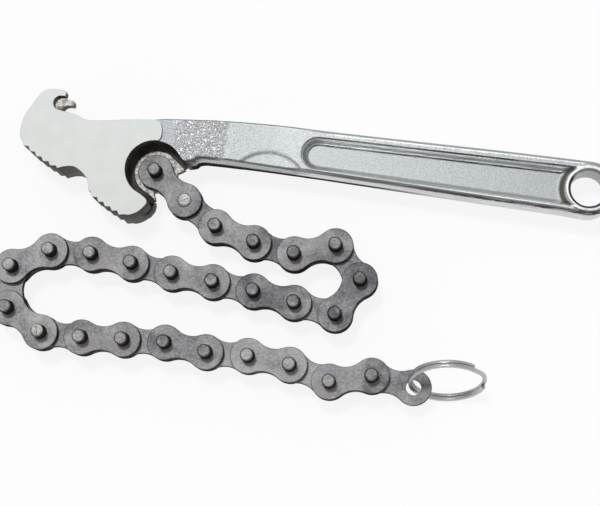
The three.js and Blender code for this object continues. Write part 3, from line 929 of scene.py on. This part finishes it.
chain = {
    "pitch": 15.875,
    "endRadius": 6.7,
    "waistHalf": 4.5,
    "edge": 0.32,
    "holeEdge": 0.12,
    "outerThickness": 2.0,
    "innerThickness": 2.4,
    "gap": 0.2,
    "pinRadius": 2.54,
    "pinStandOut": 4.85,
    "pinFoot": [(-0.5, 0), (-0.08, 0.42), (0, 0.62)],  # out from the radius, up from the pin's foot
    "plainTop": [(0, -0.66), (-0.07, -0.46), (-0.45, -0.04), (-0.62, 0)],  # and from its top
    "flushTop": [(0, -4.95), (0.1, -4.71), (-0.1, -4.49), (-0.7, -4.39)],
    "slottedTop": [(0, -0.7), (-0.02, -0.45), (-0.25, -0.12), (-0.8, 0)],
    "flushScore": (4.2, 0.26, 62),  # length, width and depth, turn
    "slottedScore": (3.4, 0.5, -48),
    "pinHole": 2.62,
    "innerHole": 2.84,
    "ringHole": 2.85,
    "looseTurn": 0.3,
    "holeSides": 28,
    "pinSides": 32,
    "creaseAngle": 38,
    "links": 26,
    "flushLink": 0,
    "slottedLink": 16,
    "seed": 5,
}


def plateLoop():
    half, end, waist = chain["pitch"] / 2, chain["endRadius"], chain["waistHalf"]
    radius = (half ** 2 + waist ** 2 - end ** 2) / (2 * (end - waist))
    rise = waist + radius
    touch = math.degrees(math.atan2(rise, half))
    return np.vstack([arcPoints(*arc)[:-1] for arc in (
        ((0, 0), end, touch, 360 - touch, 26),
        ((half, -rise), radius, 180 - touch, touch, 8),
        ((chain["pitch"], 0), end, touch - 180, 180 - touch, 26),
        ((half, rise), radius, 360 - touch, 180 + touch, 8))])


def blankObject(name, shell, material):
    mesh = shell.mesh(name)
    mesh.materials.append(material)
    sharpen(mesh, chain["creaseAngle"])
    return newObject(name, mesh)


def plateBlank(name, thickness, nearHole, farHole):
    shell = Shell()
    holes = [arcPoints((x, 0), radius, 0, 360, chain["holeSides"])[:-1]
             for x, radius in ((0, nearHole), (chain["pitch"], farHole))]
    shell.prism(plateLoop(), -thickness / 2, thickness / 2, chain["edge"], 3, holes, chain["holeEdge"])
    return blankObject(name, shell, plateSteel)


def pinBlank(name, top, score=None):
    half = chain["innerThickness"] / 2 + chain["gap"] + chain["outerThickness"] + chain["pinStandOut"]
    radius = chain["pinRadius"]
    profile = [(radius + out, up - half) for out, up in chain["pinFoot"]]
    profile += [(radius + out, half + up) for out, up in top]
    shell = Shell()
    shell.lathe([(0, profile[0][1]), *profile, (0, profile[-1][1])], chain["pinSides"])
    blank = blankObject(name, shell, pinSteel)
    if score:
        length, width, turn = score
        slope = math.radians(turn)
        corners = np.array([(-length, -width), (length, -width), (length, width), (-length, width)]) / 2
        spun = corners @ [[math.cos(slope), math.sin(slope)], [-math.sin(slope), math.cos(slope)]]
        cutter = Shell()
        cutter.prism(spun, profile[-1][1] - width, profile[-1][1] + 1)
        combine(blank, newObject("score", cutter.mesh("score")), "DIFFERENCE")
        sharpen(blank.data, chain["creaseAngle"])
    return blank


linkInputs = {  # the node tree's inputs and their kinds
    "Plate": "Object", "Plate Count": "Int", "Plate Height": "Float", "Plate Step": "Float",
    "Near Pin": "Object", "Far Pin": "Object", "Pitch": "Float", "Middle": "Float",
    "Place": "Vector", "Heading": "Float", "Seed": "Int", "Loose Turn": "Float",
    "Plate Finish": "Material", "Near Finish": "Material", "Far Finish": "Material",
}


def linkTree():
    tree = bpy.data.node_groups.new("linkLayout", "GeometryNodeTree")
    tree.interface.new_socket("Geometry", in_out="OUTPUT", socket_type="NodeSocketGeometry")
    for label, kind in linkInputs.items():
        tree.interface.new_socket(label, in_out="INPUT", socket_type="NodeSocket" + kind)
    recipe = Recipe(tree)
    given = recipe.node("NodeGroupInput").beside

    def vector(x, y, z):
        return recipe.node("ShaderNodeCombineXYZ", {}, {0: x, 1: y, 2: z})

    def chance(low, high, seed, more=None):
        return recipe.node("FunctionNodeRandomValue", {"data_type": "FLOAT"},
                           {2: low, 3: high, 8: seed, **(more or {})}, 1)

    def laidOut(label, finish, count, start, offset, turn=0.0):  # a row of one solid, made real, in its finish
        row = recipe.node("GeometryNodeMeshLine", {}, {"Count": count, "Start Location": start, "Offset": offset})
        solid = recipe.node("GeometryNodeObjectInfo", {}, {"Object": given(label)}, 4)
        row = recipe.node("GeometryNodeInstanceOnPoints", {}, {
            "Points": row, "Instance": solid, "Rotation": vector(0, 0, turn)})
        row = recipe.node("GeometryNodeRealizeInstances", {}, {0: row})
        return recipe.node("GeometryNodeSetMaterial", {}, {"Geometry": row, "Material": given(finish)})

    parts = [laidOut("Plate", "Plate Finish", given("Plate Count"), vector(0, 0, given("Plate Height")),
                     vector(0, 0, given("Plate Step")))]
    for end, place, step in (("Near", 0.0, 0), ("Far", given("Pitch"), 50)):
        turn = chance(given("Loose Turn") * -1, given("Loose Turn"), given("Seed") + step)
        parts.append(laidOut(end + " Pin", end + " Finish", 1, vector(place, 0, given("Middle")), (0, 0, 0), turn))
    placed = recipe.node("GeometryNodeTransform", {}, {
        "Geometry": recipe.node("GeometryNodeJoinGeometry", {}, {0: parts}), "Translation": given("Place"),
        "Rotation": vector(0, 0, given("Heading"))})
    shade = chance(0.0, 1.0, given("Seed"), {7: recipe.node("FunctionNodeInputInt", {"integer": 7})})
    stored = recipe.node("GeometryNodeStoreNamedAttribute", {"data_type": "FLOAT", "domain": "POINT"},
                         {"Geometry": placed, "Name": "tone", "Value": shade})
    recipe.feed(tree.nodes.new("NodeGroupOutput").inputs[0], stored)
    return tree


def makeChain():
    outer = plateBlank("outerBlank", chain["outerThickness"], chain["pinHole"], chain["pinHole"])
    inner = plateBlank("innerBlank", chain["innerThickness"], chain["innerHole"], chain["innerHole"])
    last = plateBlank("endBlank", chain["innerThickness"], chain["innerHole"], chain["ringHole"])
    plain = pinBlank("pinBlank", chain["plainTop"])
    flush = pinBlank("flushPin", chain["flushTop"], chain["flushScore"])
    slotted = pinBlank("slottedPin", chain["slottedTop"], chain["slottedScore"])
    farPins = {chain["flushLink"]: flush, chain["slottedLink"]: slotted}
    tree = linkTree()
    identifiers = {item.name: item.identifier for item in tree.interface.items_tree if item.in_out == "INPUT"}
    anchors = [place for name, place in jointPlaces.items() if name.startswith("chain_hinge")]
    anchors.append(jointPlaces["ring_swivel"])
    outerHeight = (chain["innerThickness"] + chain["outerThickness"]) / 2 + chain["gap"]
    for k in range(chain["links"]):
        along = anchors[k + 1] - anchors[k]
        isOuter, isLast = k % 2 == 0, k == chain["links"] - 1
        holder = newObject(f"link{k + 1:02d}", bpy.data.meshes.new("empty"))
        modifier = holder.modifiers.new("layout", "NODES")
        modifier.node_group = tree
        values = {
            "Plate": outer if isOuter else last if isLast else inner,
            "Plate Count": 2 if isOuter else 1,
            "Plate Height": (bar["middle"] + (outerHeight if isOuter else 0)) * mm,
            "Plate Step": -2 * outerHeight * mm,
            "Near Pin": plain if isOuter else None,
            "Far Pin": farPins.get(k, plain) if isOuter else None,
            "Pitch": chain["pitch"] * mm,
            "Middle": bar["middle"] * mm,
            "Place": (anchors[k].x, anchors[k].y, 0.0),
            "Heading": math.atan2(along.y, along.x),
            "Seed": chain["seed"] + k,
            "Loose Turn": chain["looseTurn"],
            "Plate Finish": plateSteel,
            "Near Finish": pinSteel,
            "Far Finish": peenedSteel if k in farPins else pinSteel,
        }
        for label, value in values.items():
            if value is not None:
                modifier[identifiers[label]] = value
        mesh = evaluated(holder)
        bpy.data.objects.remove(holder)
        pair = f"{k // 2 + 1:02d}"
        names = [f"rear_link_plate_{pair}", f"front_link_plate_{pair}"] if isOuter else [
            "end_link_plate" if isLast else f"inner_link_plate_{pair}"]
        finishPiece(f"chainLink{k + 1:02d}", mesh, f"link_{k + 1:02d}", names)
    for blank in (outer, inner, last, plain, flush, slotted):
        bpy.data.objects.remove(blank)


makeChain()
print("chain made")


# Split ring

splitRing = {
    "radius": 13.5,
    "wireWidth": 1.5,
    "wireHeight": 1.2,
    "turnGap": 0.15,
    "tilt": 68,
    "heading": 8,
    "stepAngle": 48,
    "startAngle": 48,
    "endGap": 15,
    "endTrim": 0.86,
    "endBulge": 0.18,
    "floorGap": 0.1,
    "rounding": 0.2,
    "stepsPerTurn": 120,
    "creaseAngle": 50,
}


def makeRing():
    radius, stepAngle, corner = splitRing["radius"], splitRing["stepAngle"], splitRing["rounding"]
    rise = (splitRing["wireHeight"] + splitRing["turnGap"]) / 2
    total = 720 - stepAngle - splitRing["endGap"]
    count = round(total / 360 * splitRing["stepsPerTurn"])
    width, height = splitRing["wireWidth"] / 2 - corner, splitRing["wireHeight"] / 2 - corner
    section = np.vstack([arcPoints((x * width, y * height), corner, start, start + 90, 3)
                         for x, y, start in ((1, 1, 0), (-1, 1, 90), (-1, -1, 180), (1, -1, 270))])
    tilt = math.radians(splitRing["tilt"])
    centreHeight = (splitRing["floorGap"] + (radius + splitRing["wireWidth"] / 2) * math.sin(tilt)
                    + (splitRing["wireHeight"] + splitRing["turnGap"] / 2) * math.cos(tilt))
    sine = (bar["middle"] - centreHeight) / (radius * math.sin(tilt))
    cosine = -math.sqrt(1 - sine ** 2)
    centre = Vector((-radius * cosine, -radius * sine * math.cos(tilt), -radius * sine * math.sin(tilt)))
    turn = (Matrix.Translation(jointPlaces["ring_swivel"] / mm)
            @ Matrix.Rotation(math.radians(splitRing["heading"]), 4, "Z")
            @ Matrix.Translation(centre) @ Matrix.Rotation(tilt, 4, "X"))
    shell = Shell()
    rings = []
    for k in range(-1, count + 2):  # the first and last sections are smaller and stand proud, to round the ends
        swept = total * min(max(k, 0), count) / count
        share = min(max((swept - 360 + stepAngle) / stepAngle, 0), 1)
        level = rise * (2 * share ** 2 * (3 - 2 * share) - 1)
        side = 1 if k > count else -1 if k < 0 else 0
        angle = math.radians(splitRing["startAngle"] + swept) + side * splitRing["endBulge"] / radius
        rings.append(shell.add(
            turn @ Vector(((radius + out) * math.cos(angle), (radius + out) * math.sin(angle), level + up))
            for out, up in section * (splitRing["endTrim"] if side else 1.0)))
    shell.skin(rings)
    shell.faces += [tuple(rings[0]), tuple(rings[-1][::-1])]
    mesh = shell.mesh("ringWire")
    faceOutwards(mesh)
    mesh.materials.append(ringSteel)
    sharpen(mesh, splitRing["creaseAngle"])
    finishPiece("keyRing", mesh, "ring", ["split_ring"])


makeRing()
print("ring made")
